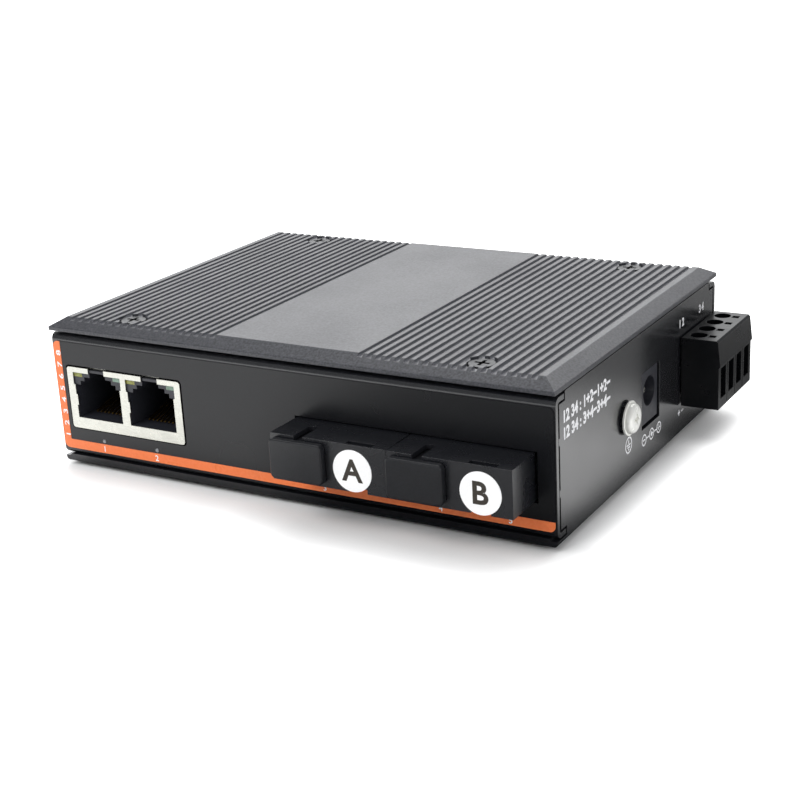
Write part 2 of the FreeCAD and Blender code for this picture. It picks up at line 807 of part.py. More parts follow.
def clamp_screw(index):
    y = pole_y(index)
    head = rod((clamp_x, y, clamp_head[0]), Z_AXIS, clamp_head_radius, clamp_head[1] - clamp_head[0])
    shank = rod((clamp_x, y, clamp_tip), Z_AXIS, clamp_shank, clamp_head[0] - clamp_tip)
    slot = block(clamp_x - 2, y - 0.3, clamp_head[1] - 0.8, clamp_x + 2, y + 0.3, clamp_head[1] + 1)
    return cut(fuse([head, shank]), [slot])


def clamp_cage(index):
    y = pole_y(index)
    cage = block(cage_x[0], y - cage_half_y, cage_z[0], cage_x[1], y + cage_half_y, cage_z[1])
    window = block(cage_x[0] - 1, y - cage_half_y + cage_wall, cage_z[0] + cage_wall,
                   cage_x[1] + 1, y + cage_half_y - cage_wall, cage_z[1] - cage_bar)
    hole = rod((clamp_x, y, cage_z[1] - cage_bar - 0.5), Z_AXIS, clamp_thread, 3)
    return cut(cage, [window, hole])


def circuit_board():
    board = block(-board_half_x, board_y[0], board_z[0], board_half_x, board_y[1], board_z[1])
    low = board_z[0] - 1
    high = board_z[1] + 1
    tools = [rod((x, y, low), Z_AXIS, m3_clearance, 4) for x, y in standoffs]
    for x, y in module_pin_places():
        tools.append(block(x - pin_hole_half, y - pin_hole_half, low,
                           x + pin_hole_half, y + pin_hole_half, high))
    for index in range(pole_count):
        y = pole_y(index)
        tools.append(block(header_pin_x[0] - 0.3, y - 0.8, low, header_pin_x[0] + 1.3, y + 0.8, high))
    return board.cut(tools).removeSplitter()


def board_standoffs():
    posts = []
    for x, y in standoffs:
        post = rod((x, y, tray_sheet), Z_AXIS, standoff_radius, board_z[0] - tray_sheet)
        spigot = rod((x, y, 0.1), Z_AXIS, standoff_spigot - 0.02, tray_sheet)
        hole = rod((x, y, 1.0), Z_AXIS, m3_thread, 10)
        posts.append(cut(fuse([post, spigot]), [hole]))
    return group(posts)


def board_screws():
    screws = []
    radius, height = board_screw_head
    for x, y in standoffs:
        head = rod((x, y, board_z[1]), Z_AXIS, radius, height)
        shank = rod((x, y, 3.0), Z_AXIS, m3_radius, board_z[1] - 3.0)
        cutter = cross_cutter((x, y, board_z[1] + height), Z_AXIS, 1.4, 1.0)
        screws.append(cut(fuse([head, shank]), cutter))
    return group(screws)


def on_board(x, y, size_x, size_y, height):
    z = board_z[1]
    return block(x - size_x / 2, y - size_y / 2, z, x + size_x / 2, y + size_y / 2, z + height)


def switch_chip():
    return on_board(-9, -3, 14, 14, 1.4)


def lan_transformers():
    return group([on_board(-46.0, -9.5, 15.5, 12.5, 6.0), on_board(-29.5, -9.5, 15.5, 12.5, 6.0)])


def power_inductor():
    return round_along(on_board(22, 13, 12.3, 12.3, 6.5), Z_AXIS, 2.0)


def electrolytic_capacitors():
    return group([rod((x, 30.0, board_z[1]), Z_AXIS, 4.0, 12.0) for x in (18.0, 28.0)])


def crystal_can():
    return round_along(on_board(-9, 12, 11.2, 4.6, 3.5), Z_AXIS, 2.0)


def regulator_chips():
    return group([on_board(x, 27.0, 5.0, 6.2, 1.75) for x in (-16.0, -4.0, 7.0)])


def rail_clip_plate():
    # Extruded section: a plate with a shallow hook at the foot and a deep one at the head.
    y0 = face_y
    y1 = y0 + clip_plate
    y2 = y1 + clip_slot
    y3 = y2 + clip_lip
    outline = [(-24, y0), (24, y0), (24, y1), (22.8, y1), (22.8, y3), (16.0, y3), (16.0, y2),
               (21.0, y2), (21.0, y1), (-18.4, y1), (-18.4, y2), (-15.6, y2), (-15.6, y3),
               (-20.4, y3), (-20.4, y1), (-24, y1)]
    plate = prism([(x, y, clip_z[0]) for x, y in outline], (0, 0, clip_z[1] - clip_z[0]))
    holes = []
    for x, z in clip_screws:
        holes.append(rod((x, y0 - 1, z), Y_AXIS, m3_clearance, 5))
        seat = Vec(x, y1 - countersink, z)
        holes.append(Part.makeCone(m3_clearance, m3_clearance + countersink, countersink, seat, Y_AXIS))
    return cut(plate, holes)


def rail_clip_spring():
    # Bowed leaf in the deep slot, one end bearing on the hook.
    y0 = face_y + clip_plate + 0.1
    y1 = y0 + clip_slot - 0.2
    points = [(20.9, 6.5), (20.9, 8.5), (19.3, 15.0), (20.9, 21.5), (20.9, 23.5),
              (20.5, 23.5), (20.5, 21.6), (18.9, 15.0), (20.5, 8.4), (20.5, 6.5)]
    return prism([(x, y0, z) for x, z in points], (0, y1 - y0, 0))


def rail_clip_screws():
    screws = []
    face = face_y + clip_plate - 0.05
    height = countersink - 0.05
    for x, z in clip_screws:
        seat = Vec(x, face - height, z)
        head = Part.makeCone(m3_radius, m3_radius + height, height, seat, Y_AXIS)
        shank = rod((x, face - 6.0, z), Y_AXIS, m3_radius, 6.0)
        cutter = cross_cutter((x, face, z), Y_AXIS, 1.4, 0.7)
        screws.append(cut(fuse([head, shank]), cutter))
    return group(screws)


pieces = {
    "chassis_tray": chassis_tray,
    "front_panel": front_panel,
    "rear_panel": rear_panel,
    "top_cover": top_cover,
    "cover_screws": cover_screws,
    "panel_screws": panel_screws,
    "front_overlay": front_overlay,
    "orange_band": orange_band,
    "rj45_shield": rj45_shield,
    "rj45_housing": rj45_housing,
    "rj45_contacts": rj45_contacts,
    "indicator_lenses": indicator_lenses,
    "indicator_leds": indicator_leds,
    "fibre_sleeves": fibre_sleeves,
    "module_pins": module_pins,
    "port_stickers": port_stickers,
    "dc_jack_body": dc_jack_body,
    "dc_jack_pin": dc_jack_pin,
    "dc_jack_spring": dc_jack_spring,
    "ground_lock_washer": ground_lock_washer,
    "ground_flat_washer": ground_flat_washer,
    "ground_screw": ground_screw,
    "ground_nut": ground_nut,
    "terminal_header": terminal_header,
    "header_pins": header_pins,
    "terminal_plug": terminal_plug,
    "plug_contacts": plug_contacts,
    "circuit_board": circuit_board,
    "board_standoffs": board_standoffs,
    "board_screws": board_screws,
    "switch_chip": switch_chip,
    "lan_transformers": lan_transformers,
    "power_inductor": power_inductor,
    "electrolytic_capacitors": electrolytic_capacitors,
    "crystal_can": crystal_can,
    "regulator_chips": regulator_chips,
    "rail_clip_plate": rail_clip_plate,
    "rail_clip_spring": rail_clip_spring,
    "rail_clip_screws": rail_clip_screws,
}
for name, make in pieces.items():
    save(name, make())

save("port_leds_yellow", group(led_boxes(-1)))
save("port_leds_green", group(led_boxes(1)))
for index, letter in enumerate("ab"):
    save("fibre_module_" + letter, fibre_module(index))
    save("dust_plug_" + letter, dust_plug(index))
for index in range(pole_count):
    save("clamp_screw_" + str(index + 1), clamp_screw(index))
    save("clamp_cage_" + str(index + 1), clamp_cage(index))
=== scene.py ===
import math
import bpy
from mathutils import Euler, Matrix, Vector


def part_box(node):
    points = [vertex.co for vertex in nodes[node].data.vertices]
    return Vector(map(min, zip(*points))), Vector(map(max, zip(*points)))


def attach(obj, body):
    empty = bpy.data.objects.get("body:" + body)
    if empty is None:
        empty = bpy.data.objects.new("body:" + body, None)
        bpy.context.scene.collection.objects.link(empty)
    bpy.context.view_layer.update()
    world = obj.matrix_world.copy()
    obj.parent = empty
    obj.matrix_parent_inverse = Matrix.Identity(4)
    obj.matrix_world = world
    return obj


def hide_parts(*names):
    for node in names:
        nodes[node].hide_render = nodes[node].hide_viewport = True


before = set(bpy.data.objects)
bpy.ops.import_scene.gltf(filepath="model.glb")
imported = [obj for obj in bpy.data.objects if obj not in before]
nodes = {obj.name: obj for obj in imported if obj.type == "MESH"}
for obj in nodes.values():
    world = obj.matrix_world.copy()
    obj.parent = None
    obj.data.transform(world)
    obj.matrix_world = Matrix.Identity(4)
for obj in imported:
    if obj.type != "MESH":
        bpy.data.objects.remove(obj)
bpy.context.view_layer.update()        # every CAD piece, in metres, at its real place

mm = 0.001
bpy.ops.object.select_all(action="DESELECT")


def linear(hexColour):
    # sRGB hex to the linear colour that the shader wants
    parts = [int(hexColour[i:i + 2], 16) / 255 for i in (1, 3, 5)]
    parts = [p / 12.92 if p <= 0.04045 else ((p + 0.055) / 1.055) ** 2.4 for p in parts]
    return tuple(parts) + (1.0,)


def perMetre(sizeInMm):
    # pattern scale for one grain, cell or line of this size
    return 1 / (sizeInMm * mm)


def addNode(tree, kind, settings=None, links=None):
    # one node with its settings and what feeds it
    node = tree.nodes.new(kind)
    for key, value in (settings or {}).items():
        if isinstance(key, str) and hasattr(node, key):
            setattr(node, key, value)
        else:
            node.inputs[key].default_value = value
    for key, source in (links or {}).items():
        tree.links.new(source, node.inputs[key])
    return node


# The noise of the grain and of the gloss patches: its detail, and where each end is reached.
pattern = {"grainDetail": 3.0, "darkAt": 0.3, "lightAt": 0.7,
           "patchDetail": 2.0, "glossFrom": 0.25, "glossTo": 0.75, "edgeSamples": 6}


def makeFinish(name, look, **sockets):
    # two close tones in a fine grain, patches in the gloss, the grain's relief and softened edges
    material = bpy.data.materials.new(name)
    material.use_nodes = True
    tree = material.node_tree
    shader = tree.nodes["Principled BSDF"]
    for key, value in sockets.items():
        shader.inputs[key.replace("_", " ")].default_value = value
    place = addNode(tree, "ShaderNodeTexCoord").outputs["Object"]
    along = addNode(tree, "ShaderNodeMapping", {"Scale": look.get("stretch", (1, 1, 1))},
                    {"Vector": place})
    grain = addNode(tree, "ShaderNodeTexNoise",
                    {"Scale": perMetre(look["grain"]), "Detail": pattern["grainDetail"]},
                    {"Vector": along.outputs[0]})
    tone = addNode(tree, "ShaderNodeValToRGB", None, {"Fac": grain.outputs["Fac"]})
    tone.color_ramp.elements[0].position = pattern["darkAt"]
    tone.color_ramp.elements[1].position = pattern["lightAt"]
    tone.color_ramp.elements[0].color = linear(look["dark"])
    tone.color_ramp.elements[1].color = linear(look["light"])
    tree.links.new(tone.outputs["Color"], shader.inputs["Base Color"])
    patch = addNode(tree, "ShaderNodeTexNoise",
                    {"Scale": perMetre(look["patch"]), "Detail": pattern["patchDetail"]},
                    {"Vector": place})
    gloss = addNode(tree, "ShaderNodeMapRange",
                    {"interpolation_type": "SMOOTHSTEP",
                     "From Min": pattern["glossFrom"], "From Max": pattern["glossTo"],
                     "To Min": look["rough"][0], "To Max": look["rough"][1]},
                    {"Value": patch.outputs["Fac"]})
    tree.links.new(gloss.outputs["Result"], shader.inputs["Roughness"])
    bump = addNode(tree, "ShaderNodeBump", {"Distance": look["relief"] * mm},
                   {"Height": grain.outputs["Fac"]})
    if look.get("edge"):
        soft = addNode(tree, "ShaderNodeBevel",
                       {"samples": pattern["edgeSamples"], "Radius": look["edge"] * mm})
        tree.links.new(soft.outputs["Normal"], bump.inputs["Normal"])
    tree.links.new(bump.outputs["Normal"], shader.inputs["Normal"])
    return {"material": material, "tree": tree, "shader": shader, "tone": tone}


print("finishes")
# Black polyester powder coat, sprayed and baked: satin, with the faint orange peel of fused powder.
powderCoat = makeFinish("blackPowderCoat", {"dark": "#131417", "light": "#1a1b1f", "grain": 0.5,
                        "rough": (0.22, 0.28), "patch": 14, "relief": 0.0012, "edge": 0.2},
                        IOR=1.54, Coat_Weight=0.8, Coat_Roughness=0.18)
# Aluminium plate, bead blasted and dyed black in the anodising bath: matt, with a fine sparkle.
blastedAnodise = makeFinish("blastedBlackAnodise", {"dark": "#232428", "light": "#48494f",
                            "grain": 0.45, "rough": (0.38, 0.46), "patch": 20, "relief": 0.009,
                            "edge": 0.25}, IOR=1.6)
# Painted light: where ambient occlusion finds a groove floor sheltered, its colour turns paler than
# the rib tops, standing in for light that fills the grooves.
paintedGrooveLight = {"colour": "#7c7d83", "reach": 0.9, "deep": 0.55, "open": 0.92, "samples": 8}
tree = blastedAnodise["tree"]
sheltered = addNode(tree, "ShaderNodeAmbientOcclusion",
                    {"samples": paintedGrooveLight["samples"], "only_local": True,
                     "Distance": paintedGrooveLight["reach"] * mm})
grooveLightShare = addNode(tree, "ShaderNodeMapRange",
                {"From Min": paintedGrooveLight["deep"], "From Max": paintedGrooveLight["open"],
                 "To Min": 1.0, "To Max": 0.0},
                {"Value": sheltered.outputs["AO"]})
grooveLightMix = addNode(tree, "ShaderNodeMix", {"data_type": "RGBA", "B": linear(paintedGrooveLight["colour"])},
                  {"Factor": grooveLightShare.outputs["Result"], "A": blastedAnodise["tone"].outputs["Color"]})
tree.links.new(grooveLightMix.outputs["Result"], blastedAnodise["shader"].inputs["Base Color"])
# Polyester film printed black on its back: smooth, satin, with faint wipe marks in the gloss.
blackFilm = makeFinish("blackPolyesterFilm", {"dark": "#0b0c0f", "light": "#111216", "grain": 0.4,
                       "rough": (0.27, 0.3), "patch": 18, "relief": 0.001}, IOR=1.5)
# The same film with orange ink under it: a solid colour with the film's gloss.
orangeInk = makeFinish("orangeScreenInk", {"dark": "#ee7840", "light": "#f48149", "grain": 0.6,
                       "rough": (0.26, 0.36), "patch": 18, "relief": 0.001}, IOR=1.5)
# Screen-printed epoxy ink: dense white, with the slight tooth that the mesh leaves.
whiteInk = makeFinish("whiteScreenInk", {"dark": "#f2f3f6", "light": "#fcfcfe", "grain": 0.25,
                      "rough": (0.4, 0.5), "patch": 3, "relief": 0.001}, IOR=1.5)
# Coated white label paper, die cut: bright and matt.
labelPaper = makeFinish("coatedLabelPaper", {"dark": "#f8f8f8", "light": "#fdfdfd", "grain": 0.3,
                        "rough": (0.45, 0.55), "patch": 4, "relief": 0.002}, IOR=1.5)
# Warm grey-black thermal print on the labels.
labelInk = makeFinish("thermalLabelPrint", {"dark": "#35302b", "light": "#454039", "grain": 0.15,
                      "rough": (0.5, 0.6), "patch": 2, "relief": 0.001}, IOR=1.5)

# Bright tin over stamped brass: pale and softly mirrored, with rolling lines along the strip.
brightTin = makeFinish("brightTinPlate", {"dark": "#cacac2", "light": "#d8d8cf", "grain": 0.12,
                       "stretch": (0.15, 1, 1), "rough": (0.24, 0.34), "patch": 2, "relief": 0.0015,
                       "edge": 0.08}, Metallic=1.0)
# Blue-white passivated zinc on cold-headed steel: bright, a little uneven.
brightZinc = makeFinish("brightZincPlate", {"dark": "#e4e4df", "light": "#f2f2ee", "grain": 0.5,
                        "rough": (0.26, 0.4), "patch": 0.8, "relief": 0.003, "edge": 0.12},
                        Metallic=1.0)
# The same plating on the earth screw and its flat washer, made near white and only a little
# metallic: a painted highlight for the bright glint they throw back.
zincPaintedHighlight = makeFinish("passivatedZincPlate", {"dark": "#f6f6f0", "light": "#fdfdf9",
                            "grain": 0.9, "rough": (0.2, 0.28), "patch": 1.6, "relief": 0.0006,
                            "edge": 0.06}, Metallic=0.3)
# Chemically blackened steel: dark with an oily sheen.
blackOxide = makeFinish("blackOxideSteel", {"dark": "#1c1d1f", "light": "#2e2f32", "grain": 0.4,
                        "rough": (0.26, 0.38), "patch": 1.5, "relief": 0.003, "edge": 0.1},
                        Metallic=0.6)
# Hard gold flashed over nickel on the spring contacts: warm, but darkened as painted shade for the
# dim inside of the ports.
hardGoldPaintedShade = makeFinish("hardGoldPlate", {"dark": "#6a5228", "light": "#7c6334", "grain": 0.2,
                      "rough": (0.42, 0.55), "patch": 1, "relief": 0.001}, Metallic=1.0)
# Bare rolled phosphor bronze: warm brown metal with rolling lines.
phosphorBronze = makeFinish("rolledPhosphorBronze", {"dark": "#a97c50", "light": "#c79a6c",
                            "grain": 0.12, "stretch": (0.2, 1, 1), "rough": (0.24, 0.36),
                            "patch": 2, "relief": 0.002}, Metallic=1.0)
# Extruded aluminium, natural anodised: pale grey with die lines along the extrusion.
naturalAnodise = makeFinish("naturalAnodisedExtrusion", {"dark": "#a2a4a6", "light": "#bcbec0",
                            "grain": 0.25, "stretch": (1, 1, 0.04), "rough": (0.32, 0.42),
                            "patch": 6, "relief": 0.004, "edge": 0.12}, Metallic=1.0)
# Deep-drawn aluminium cans: bright with a faint draw grain upwards.
drawnCan = makeFinish("drawnAluminiumCan", {"dark": "#bcbec0", "light": "#d0d2d4", "grain": 0.3,
                      "stretch": (1, 1, 0.1), "rough": (0.2, 0.32), "patch": 2, "relief": 0.002,
                      "edge": 0.15}, Metallic=1.0)

# Moulded glass-filled resin of the optical modules: near black, with a fine spark-eroded grain.
moduleResin = makeFinish("mouldedModuleResin", {"dark": "#16171b", "light": "#1f2024",
                         "grain": 0.22, "rough": (0.24, 0.32), "patch": 5, "relief": 0.003,
                         "edge": 0.12}, IOR=1.53, Specular_IOR_Level=1.0)
# Injection-moulded soft vinyl of the dust plugs: a shade lighter, satin, with rounder edges.
plugVinyl = makeFinish("mouldedPlugVinyl", {"dark": "#16171a", "light": "#1e1f23", "grain": 0.35,
                       "rough": (0.28, 0.36), "patch": 4, "relief": 0.004, "edge": 0.22},
                       IOR=1.53, Specular_IOR_Level=0.65)
# Moulded polyester of the copper ports' housing.
portResin = makeFinish("mouldedPortResin", {"dark": "#26272c", "light": "#303138", "grain": 0.3,
                       "rough": (0.34, 0.46), "patch": 3, "relief": 0.003, "edge": 0.05}, IOR=1.52)
# Moulded polyamide of the terminal block: near black and satin.
blackPolyamide = makeFinish("mouldedBlackPolyamide", {"dark": "#07080a", "light": "#0c0d10",
                            "grain": 0.28, "rough": (0.26, 0.34), "patch": 5, "relief": 0.003,
                            "edge": 0.16}, IOR=1.42, Specular_IOR_Level=0.3)
# Epoxy mould compound of chips and transformers: charcoal with a dull peel.
mouldCompound = makeFinish("epoxyMouldCompound", {"dark": "#1c1c1e", "light": "#262628",
                           "grain": 0.3, "rough": (0.5, 0.6), "patch": 3, "relief": 0.006,
                           "edge": 0.1}, IOR=1.55)
# Pressed and sintered ferrite: dark grey, dry and slightly pitted.
pressedFerrite = makeFinish("pressedFerrite", {"dark": "#2b2c2f", "light": "#3a3b3e", "grain": 0.2,
                            "rough": (0.55, 0.68), "patch": 2, "relief": 0.01, "edge": 0.2},
                            IOR=1.6)
# Ground zirconia sleeve: ivory white and glossy.
groundZirconia = makeFinish("groundZirconia", {"dark": "#e9e5db", "light": "#f1eee6", "grain": 0.2,
                            "rough": (0.1, 0.2), "patch": 1, "relief": 0.0005}, IOR=2.1)
# Glass-epoxy laminate under green solder mask: glossy, with the weave just showing.
solderMask = makeFinish("greenSolderMask", {"dark": "#1c5232", "light": "#24673f", "grain": 0.6,
                        "rough": (0.2, 0.3), "patch": 9, "relief": 0.004}, IOR=1.55)
# Diffused lamp windows, unlit: tinted epoxy that lets a little light in.
yellowLamp = makeFinish("yellowDiffusedLamp", {"dark": "#85823a", "light": "#a3a052", "grain": 0.8,
                        "rough": (0.2, 0.3), "patch": 1, "relief": 0.001},
                        IOR=1.5, Subsurface_Weight=0.2)
greenLamp = makeFinish("greenDiffusedLamp", {"dark": "#6f8470", "light": "#8fa590", "grain": 0.8,
                       "rough": (0.2, 0.3), "patch": 1, "relief": 0.001},
                       IOR=1.5, Subsurface_Weight=0.2)
# Clear acrylic light guides end on: they carry the dark of the case out.
lightGuide = makeFinish("clearAcrylicGuide", {"dark": "#77797d", "light": "#8e9094", "grain": 0.3,
                        "rough": (0.16, 0.26), "patch": 1, "relief": 0.0005}, IOR=1.49)
# Clear resin over the lamp chips on the board.
lampResin = makeFinish("lampChipResin", {"dark": "#d9d28f", "light": "#e8e2a8", "grain": 0.3,
                       "rough": (0.3, 0.4), "patch": 1, "relief": 0.001}, IOR=1.5)

nodeFinish = {
    "chassis_tray": powderCoat, "front_panel": powderCoat, "rear_panel": powderCoat,
    "top_cover": blastedAnodise, "cover_screws": blackOxide, "panel_screws": blackOxide,
    "front_overlay": blackFilm, "orange_band": orangeInk,
    "rj45_shield": brightTin, "rj45_housing": portResin, "rj45_contacts": hardGoldPaintedShade,
    "indicator_lenses": lightGuide, "indicator_leds": lampResin,
    "port_leds_yellow": yellowLamp, "port_leds_green": greenLamp,
    "fibre_module_a": moduleResin, "fibre_module_b": moduleResin,
    "fibre_sleeves": groundZirconia, "module_pins": brightTin,
    "dust_plug_a": plugVinyl, "dust_plug_b": plugVinyl, "port_stickers": labelPaper,
    "dc_jack_body": portResin, "dc_jack_pin": brightTin, "dc_jack_spring": phosphorBronze,
    "ground_lock_washer": blackOxide, "ground_flat_washer": brightZinc,
    "ground_screw": brightZinc, "ground_nut": brightZinc,
    "terminal_header": blackPolyamide, "header_pins": brightTin, "terminal_plug": blackPolyamide,
    "plug_contacts": phosphorBronze, "circuit_board": solderMask, "board_standoffs": brightZinc,
    "board_screws": brightZinc, "switch_chip": mouldCompound, "lan_transformers": mouldCompound,
    "power_inductor": pressedFerrite, "electrolytic_capacitors": drawnCan, "crystal_can": drawnCan,
    "regulator_chips": mouldCompound,
    "rail_clip_plate": naturalAnodise, "rail_clip_spring": brightZinc,
    "rail_clip_screws": blackOxide,
}
for index in range(1, 5):
    nodeFinish["clamp_screw_" + str(index)] = brightZinc
    nodeFinish["clamp_cage_" + str(index)] = brightZinc
for name, finish in nodeFinish.items():
    for slot in nodes[name].material_slots:
        slot.material = finish["material"]


# Prints that read from the port side and from the right.
faceFront = Euler((math.radians(90), 0, 0)).to_matrix().to_4x4()
faceRight = Euler((math.radians(90), 0, math.radians(90))).to_matrix().to_4x4()
capitalShare = 0.72      # a capital's height as a share of the font's size
curveSteps = 4           # straight pieces in each curve of a letter
signFacets = 48          # sides of a printed ring
barRounding = 0.4        # corner radius of a printed bar as a share of its width


def settle(piece, name, place, turn, finish):
    # a flat print put on its face: the place goes into the mesh
    piece.name = name
    piece.data.transform(Matrix.Translation(place) @ turn)
    piece.data.materials.clear()
    piece.data.materials.append(finish["material"])
    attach(piece, "case")
    piece.select_set(False)


def printedText(name, words, place, turn, finish, look):
    # words as a thin raised layer, centred on their place
    bpy.ops.object.select_all(action="DESELECT")
    bpy.ops.object.text_add(location=(0, 0, 0))
    text = bpy.context.object
    text.data.body = words
    text.data.size = look["height"] * mm / capitalShare
    text.data.offset = look["bold"] * mm
    text.data.extrude = look["thick"] * mm / 2
    text.data.resolution_u = curveSteps
    bpy.ops.object.convert(target="MESH")
    piece = bpy.context.object
    corners = [Vector(c) for c in piece.bound_box]
    middle = (Vector(map(min, zip(*corners))) + Vector(map(max, zip(*corners)))) / 2
    length = 2 * (middle.x - min(c.x for c in corners))
    wide = look["span"] * mm / length if "span" in look else 1.0
    squeeze = Matrix.Diagonal((wide, 1.0, 1.0, 1.0))
    piece.data.transform(squeeze @ Matrix.Translation(-middle))
    settle(piece, name, place, turn, finish)


def printedSign(name, rings, bars, place, turn, finish, thick):
    # rings and round-ended bars drawn flat in one mesh, then given the ink's thickness
    bpy.ops.object.select_all(action="DESELECT")
    bpy.ops.mesh.primitive_circle_add(vertices=signFacets, radius=rings[0][2] * mm,
                                      fill_type="NGON",
                                      location=(rings[0][0] * mm, rings[0][1] * mm, 0))
    piece = bpy.context.object
    bpy.ops.object.transform_apply(location=True, rotation=False, scale=False)
    bpy.ops.object.mode_set(mode="EDIT")
    for index, (x, y, radius, line) in enumerate(rings):
        if index:
            bpy.ops.mesh.select_all(action="DESELECT")
            bpy.ops.mesh.primitive_circle_add(vertices=signFacets, radius=radius * mm,
                                              fill_type="NGON", location=(x * mm, y * mm, 0))
        if line:
            bpy.ops.mesh.inset(thickness=line * mm)
            bpy.ops.mesh.delete(type="FACE")
    for x, y, wide, high in bars:
        bpy.ops.mesh.select_all(action="DESELECT")
        bpy.ops.mesh.primitive_plane_add(size=1, location=(x * mm, y * mm, 0))
        bpy.ops.transform.resize(value=(wide * mm, high * mm, 1),
                                 center_override=(x * mm, y * mm, 0))
        bpy.ops.mesh.bevel(offset=min(wide, high) * barRounding * mm, segments=3, affect="VERTICES")
    bpy.ops.mesh.select_all(action="SELECT")
    bpy.ops.mesh.extrude_region_move(TRANSFORM_OT_translate={"value": (0, 0, thick * mm)})
    bpy.ops.mesh.select_all(action="SELECT")
    bpy.ops.mesh.normals_make_consistent(inside=False)
    bpy.ops.object.mode_set(mode="OBJECT")
    settle(piece, name, place, turn, finish)


print("earth screw")
# A toothed black washer that bites the coat, a bright flat washer and a domed cross-recess screw.
screwAxis = (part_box("ground_screw")[0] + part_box("ground_screw")[1]) / 2
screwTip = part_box("ground_screw")[0].x
# In millimetres: "from" is where a disc starts along x, "rim" parts the outer wall from the bore's,
# "recess" is a slot's length, width and depth. As shares: "root" is the thread's core beside its
# ridge, and "taper" a slot's floor beside its mouth.
earthParts = {"lock": {"from": 57.87, "thick": 0.5, "radius": 3.2, "round": 0.12, "bore": 2.15},
              "flat": {"from": 58.39, "thick": 0.42, "radius": 3.52, "round": 0.16, "bore": 2.15},
              "head": {"from": 58.83, "thick": 1.2, "radius": 3.1, "round": 1.05, "bore": 0},
              "facets": 64, "edgeSteps": 7, "smoothTo": 35,      # the last in degrees
              "teeth": 12, "tooth": 0.18, "rim": 2.8, "shank": 1.97, "pitch": 0.7, "root": 0.84,
              "recess": (3.1, 0.75, 0.95), "taper": (0.45, 0.7)}
squareOn = 0.9           # how nearly a face looks along the axis to be an end of its disc
flatEnd = 0.999          # the same for the flat of an end, without its rounded edge
sideways = 0.3           # how little a face looks along the axis to be of the disc's wall


def pickFaces(piece, test):
    # leaves edit mode on, with only the faces that pass the test selected
    bpy.ops.object.mode_set(mode="EDIT")
    bpy.ops.mesh.select_mode(type="FACE")
    bpy.ops.mesh.select_all(action="DESELECT")
    bpy.ops.object.mode_set(mode="OBJECT")
    for face in piece.data.polygons:
        face.select = test(face)
    bpy.ops.object.mode_set(mode="EDIT")


def pressedDisc(name, part, segments):
    # a disc lying flat, its upper edge rounded, with a bore through it where it has one
    bpy.ops.object.select_all(action="DESELECT")
    bpy.ops.mesh.primitive_cylinder_add(vertices=segments, radius=part["radius"] * mm,
                                        depth=part["thick"] * mm, location=(0, 0, 0),
                                        end_fill_type="NGON")
    disc = bpy.context.object
    disc.name = name
    pickFaces(disc, lambda face: face.normal.z > squareOn)
    bpy.ops.mesh.bevel(offset=part["round"] * mm, segments=earthParts["edgeSteps"], affect="EDGES")
    if part["bore"]:
        pickFaces(disc, lambda face: abs(face.normal.z) > flatEnd
                  and len(face.vertices) == segments)
        wall = part["radius"] - part["bore"]
        bpy.ops.mesh.inset(thickness=(wall - part["round"]) * mm)
        bpy.ops.mesh.bridge_edge_loops()
    bpy.ops.object.mode_set(mode="OBJECT")
    return disc


def seatDisc(disc, part, finish, carrier, slotName, *replaced):
    # turned to face out of the wall, set at its place on the screw's axis, and given to its body
    place = Vector(((part["from"] + part["thick"] / 2) * mm, screwAxis.y, screwAxis.z))
    outward = Euler((0, math.radians(90), 0)).to_matrix().to_4x4()
    disc.data.transform(Matrix.Translation(place) @ outward)
    disc.data.materials.clear()
    disc.data.materials.append(finish["material"])
    bpy.ops.object.select_all(action="DESELECT")
    disc.select_set(True)
    bpy.context.view_layer.objects.active = disc
    bpy.ops.object.shade_smooth_by_angle(angle=math.radians(earthParts["smoothTo"]))
    disc.select_set(False)
    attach(disc, carrier)
    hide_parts(*replaced)


# The lock washer's teeth stand out of its rim, each as wide as the gap beside it.
lock = pressedDisc("earth_lock_washer", earthParts["lock"], 4 * earthParts["teeth"])
toothStep = 360 / earthParts["teeth"]
toothOut = -earthParts["tooth"] * mm
pickFaces(lock, lambda face: abs(face.normal.z) < sideways
          and face.center.length > earthParts["rim"] * mm
          and math.degrees(math.atan2(face.center.y, face.center.x)) % toothStep < toothStep / 2)
bpy.ops.mesh.extrude_region_shrink_fatten(TRANSFORM_OT_shrink_fatten={"value": toothOut})
bpy.ops.object.mode_set(mode="OBJECT")
seatDisc(lock, earthParts["lock"], blackOxide,
         "ground_washers", "black_steel", "ground_lock_washer")
flat = pressedDisc("earth_flat_washer", earthParts["flat"], earthParts["facets"])
seatDisc(flat, earthParts["flat"], zincPaintedHighlight,
         "ground_washers", "zinc_steel", "ground_flat_washer")

